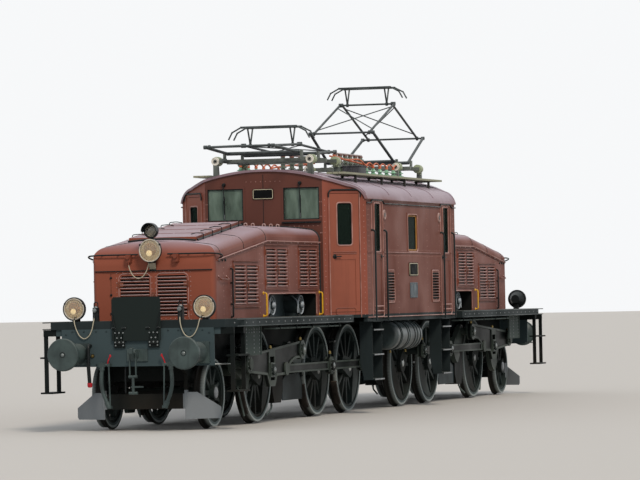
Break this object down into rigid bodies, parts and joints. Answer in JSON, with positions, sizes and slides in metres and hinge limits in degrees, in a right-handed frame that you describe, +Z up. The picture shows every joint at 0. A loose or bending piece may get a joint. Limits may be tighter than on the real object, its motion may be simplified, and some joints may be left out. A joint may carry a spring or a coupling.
{
  "type": "electric locomotive",
  "caption": "Articulated electric locomotive with a central cab body, two rod-driven hooded power trucks, side buffers and roof pantographs.",
  "frame": {"origin": "centre of the locomotive, midway between the buffers, at the level of the lowest wheel flanges", "axes": "+X along the locomotive towards end 2, the right-hand end from the side shown in the picture; +Y to the far side; +Z up"},
  "size_m": [19.46, 3.098, 5.2813],
  "materials": {
    "tyre_steel": "worn dark paint, bright treads",
    "shaft_steel": "oiled steel",
    "rod_paint": "oiled green-black",
    "frame_paint": "matt green-black",
    "buffer_paint": "greasy dark",
    "deck_paint": "matt green-black",
    "red_paint": "oxide red-brown, semi-matt",
    "motor_grey": "dusty grey",
    "pantograph_paint": "dark grey",
    "interior_paint": "pale green-grey",
    "roof_paint": "dusty grey-brown",
    "window_glass": "clear",
    "walkway_wood": "weathered planks",
    "lamp_body": "black",
    "copper": "orange-red conductors"
  },
  "bodies": {
    "body": {"air_reservoirs": "frame_paint", "body_underframe": "frame_paint", "bulkheads": "interior_paint", "cab_roof": "roof_paint", "end_wall_1": "red_paint", "end_wall_2": "red_paint", "pantograph_bases": "pantograph_paint", "roof_conductors": "copper", "roof_walkways": "walkway_wood", "side_wall_left": "red_paint", "side_wall_right": "red_paint", "steps_and_rails": "frame_paint", "transformer": "motor_grey", "window_glass": "window_glass"},
    "blind_shaft_1": {"blind_shaft_1": "shaft_steel"},
    "blind_shaft_2": {"blind_shaft_2": "shaft_steel"},
    "truck_1": {"buffers_1": "buffer_paint", "hood_1": "red_paint", "lamps_1": "lamp_body", "running_plate_1": "deck_paint", "traction_motors_1": "motor_grey", "truck_frame_1": "frame_paint"},
    "truck_2": {"buffers_2": "buffer_paint", "hood_2": "red_paint", "lamps_2": "lamp_body", "running_plate_2": "deck_paint", "traction_motors_2": "motor_grey", "truck_frame_2": "frame_paint"},
    "drive_rods_left_1": {"drive_rods_left_1": "rod_paint"},
    "drive_rods_left_2": {"drive_rods_left_2": "rod_paint"},
    "drive_rods_right_1": {"drive_rods_right_1": "rod_paint"},
    "drive_rods_right_2": {"drive_rods_right_2": "rod_paint"},
    "end_door_left_1": {"end_door_left_1": "red_paint"},
    "end_door_left_2": {"end_door_left_2": "red_paint"},
    "end_door_right_1": {"end_door_right_1": "red_paint"},
    "end_door_right_2": {"end_door_right_2": "red_paint"},
    "jackshaft_1": {"jackshaft_1": "shaft_steel"},
    "jackshaft_2": {"jackshaft_2": "shaft_steel"},
    "pantograph_head_1": {"pantograph_head_1": "pantograph_paint"},
    "pantograph_head_2": {"pantograph_head_2": "pantograph_paint"},
    "pantograph_lower_a_1": {"pantograph_lower_a_1": "pantograph_paint"},
    "pantograph_lower_a_2": {"pantograph_lower_a_2": "pantograph_paint"},
    "pantograph_lower_b_1": {"pantograph_lower_b_1": "pantograph_paint"},
    "pantograph_lower_b_2": {"pantograph_lower_b_2": "pantograph_paint"},
    "pantograph_upper_a_1": {"pantograph_upper_a_1": "pantograph_paint"},
    "pantograph_upper_a_2": {"pantograph_upper_a_2": "pantograph_paint"},
    "pantograph_upper_b_1": {"pantograph_upper_b_1": "pantograph_paint"},
    "pantograph_upper_b_2": {"pantograph_upper_b_2": "pantograph_paint"},
    "side_door_left_1": {"side_door_left_1": "red_paint"},
    "side_door_left_2": {"side_door_left_2": "red_paint"},
    "side_door_right_1": {"side_door_right_1": "red_paint"},
    "side_door_right_2": {"side_door_right_2": "red_paint"},
    "wheelset_carrying_1": {"wheelset_carrying_1": "tyre_steel"},
    "wheelset_carrying_2": {"wheelset_carrying_2": "tyre_steel"},
    "wheelset_inner_1": {"wheelset_inner_1": "tyre_steel"},
    "wheelset_inner_2": {"wheelset_inner_2": "tyre_steel"},
    "wheelset_middle_1": {"wheelset_middle_1": "tyre_steel"},
    "wheelset_middle_2": {"wheelset_middle_2": "tyre_steel"},
    "wheelset_outer_1": {"wheelset_outer_1": "tyre_steel"},
    "wheelset_outer_2": {"wheelset_outer_2": "tyre_steel"}
  },
  "joints": [
    {"name": "truck_swivel_1", "type": "hinge", "parent": "body", "child": "truck_1", "pos_m": [-2.4, 0, 1.4], "axis": [0, 0, 1], "range_deg": [-3, 3]},
    {"name": "wheels_middle_1", "type": "hinge", "parent": "truck_1", "child": "wheelset_middle_1", "pos_m": [-3.25, 0, 0.703], "axis": [0, 1, 0], "continuous": true},
    {"name": "wheels_outer_1", "type": "hinge", "parent": "truck_1", "child": "wheelset_outer_1", "pos_m": [-6.25, 0, 0.703], "axis": [0, 1, 0], "continuous": true},
    {"name": "wheels_inner_1", "type": "hinge", "parent": "truck_1", "child": "wheelset_inner_1", "pos_m": [-1.55, 0, 0.703], "axis": [0, 1, 0], "continuous": true},
    {"name": "jackshaft_turn_1", "type": "hinge", "parent": "truck_1", "child": "jackshaft_1", "pos_m": [-4.77, 0, 0.968], "axis": [0, 1, 0], "continuous": true},
    {"name": "blind_shaft_turn_1", "type": "hinge", "parent": "truck_1", "child": "blind_shaft_1", "pos_m": [-7.35, 0, 0.808], "axis": [0, 1, 0], "continuous": true},
    {"name": "wheels_carrying_1", "type": "hinge", "parent": "truck_1", "child": "wheelset_carrying_1", "pos_m": [-8.25, 0, 0.503], "axis": [0, 1, 0], "continuous": true},
    {"name": "rods_left_1", "type": "hinge", "parent": "wheelset_middle_1", "child": "drive_rods_left_1", "pos_m": [-3.54109, -1.11, 0.77558], "axis": [0, 1, 0], "continuous": true},
    {"name": "rods_right_1", "type": "hinge", "parent": "wheelset_middle_1", "child": "drive_rods_right_1", "pos_m": [-3.32258, 1.11, 0.41191], "axis": [0, 1, 0], "continuous": true},
    {"name": "side_door_left_1", "type": "hinge", "parent": "body", "child": "side_door_left_1", "pos_m": [-1.757, -1.409, 2.4], "axis": [0, 0, -1], "range_deg": [0, 80]},
    {"name": "end_door_left_1", "type": "hinge", "parent": "body", "child": "end_door_left_1", "pos_m": [-2.6913, -1.33786, 2.4], "axis": [0, 0, -1], "range_deg": [0, 80]},
    {"name": "side_door_right_1", "type": "hinge", "parent": "body", "child": "side_door_right_1", "pos_m": [-1.757, 1.409, 2.4], "axis": [0, 0, 1], "range_deg": [0, 80]},
    {"name": "end_door_right_1", "type": "hinge", "parent": "body", "child": "end_door_right_1", "pos_m": [-2.6913, 1.33786, 2.4], "axis": [0, 0, 1], "range_deg": [0, 80]},
    {"name": "pantograph_fold_1", "type": "hinge", "parent": "body", "child": "pantograph_lower_a_1", "pos_m": [-3.145, 0, 4.018], "axis": [0, 1, 0], "range_deg": [-1.3, 23]},
    {"name": "pantograph_upper_a_turn_1", "type": "hinge", "parent": "pantograph_lower_a_1", "child": "pantograph_upper_a_1", "pos_m": [-4.33636, 0, 4.08044], "axis": [0, -1, 0], "range_deg": [-2.51, 42.7]},
    {"name": "pantograph_head_level_1", "type": "hinge", "parent": "pantograph_upper_a_1", "child": "pantograph_head_1", "pos_m": [-2.69999, 0, 4.15348], "axis": [0, 1, 0], "range_deg": [-1.21, 19.7]},
    {"name": "pantograph_lower_b_turn_1", "type": "hinge", "parent": "body", "child": "pantograph_lower_b_1", "pos_m": [-2.255, 0, 4.018], "axis": [0, -1, 0], "range_deg": [-1.3, 23]},
    {"name": "pantograph_upper_b_turn_1", "type": "hinge", "parent": "pantograph_lower_b_1", "child": "pantograph_upper_b_1", "pos_m": [-1.06364, 0, 4.08044], "axis": [0, 1, 0], "range_deg": [-2.51, 42.7]},
    {"name": "truck_swivel_2", "type": "hinge", "parent": "body", "child": "truck_2", "pos_m": [2.4, 0, 1.4], "axis": [0, 0, 1], "range_deg": [-3, 3]},
    {"name": "wheels_middle_2", "type": "hinge", "parent": "truck_2", "child": "wheelset_middle_2", "pos_m": [3.25, 0, 0.703], "axis": [0, 1, 0], "continuous": true},
    {"name": "wheels_outer_2", "type": "hinge", "parent": "truck_2", "child": "wheelset_outer_2", "pos_m": [6.25, 0, 0.703], "axis": [0, 1, 0], "continuous": true},
    {"name": "wheels_inner_2", "type": "hinge", "parent": "truck_2", "child": "wheelset_inner_2", "pos_m": [1.55, 0, 0.703], "axis": [0, 1, 0], "continuous": true},
    {"name": "jackshaft_turn_2", "type": "hinge", "parent": "truck_2", "child": "jackshaft_2", "pos_m": [4.77, 0, 0.968], "axis": [0, 1, 0], "continuous": true},
    {"name": "blind_shaft_turn_2", "type": "hinge", "parent": "truck_2", "child": "blind_shaft_2", "pos_m": [7.35, 0, 0.808], "axis": [0, 1, 0], "continuous": true},
    {"name": "wheels_carrying_2", "type": "hinge", "parent": "truck_2", "child": "wheelset_carrying_2", "pos_m": [8.25, 0, 0.503], "axis": [0, 1, 0], "continuous": true},
    {"name": "rods_left_2", "type": "hinge", "parent": "wheelset_middle_2", "child": "drive_rods_left_2", "pos_m": [3.47294, -1.11, 0.90374], "axis": [0, 1, 0], "continuous": true},
    {"name": "rods_right_2", "type": "hinge", "parent": "wheelset_middle_2", "child": "drive_rods_right_2", "pos_m": [3.04926, 1.11, 0.92594], "axis": [0, 1, 0], "continuous": true},
    {"name": "side_door_left_2", "type": "hinge", "parent": "body", "child": "side_door_left_2", "pos_m": [1.757, -1.409, 2.4], "axis": [0, 0, 1], "range_deg": [0, 80]},
    {"name": "end_door_left_2", "type": "hinge", "parent": "body", "child": "end_door_left_2", "pos_m": [2.6913, -1.33786, 2.4], "axis": [0, 0, 1], "range_deg": [0, 80]},
    {"name": "side_door_right_2", "type": "hinge", "parent": "body", "child": "side_door_right_2", "pos_m": [1.757, 1.409, 2.4], "axis": [0, 0, -1], "range_deg": [0, 80]},
    {"name": "end_door_right_2", "type": "hinge", "parent": "body", "child": "end_door_right_2", "pos_m": [2.6913, 1.33786, 2.4], "axis": [0, 0, -1], "range_deg": [0, 80]},
    {"name": "pantograph_fold_2", "type": "hinge", "parent": "body", "child": "pantograph_lower_a_2", "pos_m": [2.255, 0, 4.018], "axis": [0, 1, 0], "range_deg": [-20.3, 4]},
    {"name": "pantograph_upper_a_turn_2", "type": "hinge", "parent": "pantograph_lower_a_2", "child": "pantograph_upper_a_2", "pos_m": [1.14887, 0, 4.46491], "axis": [0, -1, 0], "range_deg": [-37.7, 7.51]},
    {"name": "pantograph_head_level_2", "type": "hinge", "parent": "pantograph_upper_a_2", "child": "pantograph_head_2", "pos_m": [2.7, 0, 4.99126], "axis": [0, 1, 0], "range_deg": [-17.4, 3.51]},
    {"name": "pantograph_lower_b_turn_2", "type": "hinge", "parent": "body", "child": "pantograph_lower_b_2", "pos_m": [3.145, 0, 4.018], "axis": [0, -1, 0], "range_deg": [-20.3, 4]},
    {"name": "pantograph_upper_b_turn_2", "type": "hinge", "parent": "pantograph_lower_b_2", "child": "pantograph_upper_b_2", "pos_m": [4.25113, 0, 4.46491], "axis": [0, 1, 0], "range_deg": [-37.7, 7.51]}
  ],
  "couplings": [
    {"joint": "wheels_outer_1", "follows": "wheels_middle_1", "ratio": 1},
    {"joint": "wheels_inner_1", "follows": "wheels_middle_1", "ratio": 1},
    {"joint": "jackshaft_turn_1", "follows": "wheels_middle_1", "ratio": 1},
    {"joint": "blind_shaft_turn_1", "follows": "wheels_middle_1", "ratio": 1},
    {"joint": "rods_left_1", "follows": "wheels_middle_1", "ratio": -1},
    {"joint": "rods_right_1", "follows": "wheels_middle_1", "ratio": -1},
    {"joint": "pantograph_upper_a_turn_1", "follows": "pantograph_fold_1", "ratio": 1.852},
    {"joint": "pantograph_head_level_1", "follows": "pantograph_fold_1", "ratio": 0.852},
    {"joint": "pantograph_lower_b_turn_1", "follows": "pantograph_fold_1", "ratio": 1},
    {"joint": "pantograph_upper_b_turn_1", "follows": "pantograph_fold_1", "ratio": 1.852},
    {"joint": "wheels_outer_2", "follows": "wheels_middle_2", "ratio": 1},
    {"joint": "wheels_inner_2", "follows": "wheels_middle_2", "ratio": 1},
    {"joint": "jackshaft_turn_2", "follows": "wheels_middle_2", "ratio": 1},
    {"joint": "blind_shaft_turn_2", "follows": "wheels_middle_2", "ratio": 1},
    {"joint": "rods_left_2", "follows": "wheels_middle_2", "ratio": -1},
    {"joint": "rods_right_2", "follows": "wheels_middle_2", "ratio": -1},
    {"joint": "pantograph_upper_a_turn_2", "follows": "pantograph_fold_2", "ratio": 1.852},
    {"joint": "pantograph_head_level_2", "follows": "pantograph_fold_2", "ratio": 0.852},
    {"joint": "pantograph_lower_b_turn_2", "follows": "pantograph_fold_2", "ratio": 1},
    {"joint": "pantograph_upper_b_turn_2", "follows": "pantograph_fold_2", "ratio": 1.852}
  ]
}
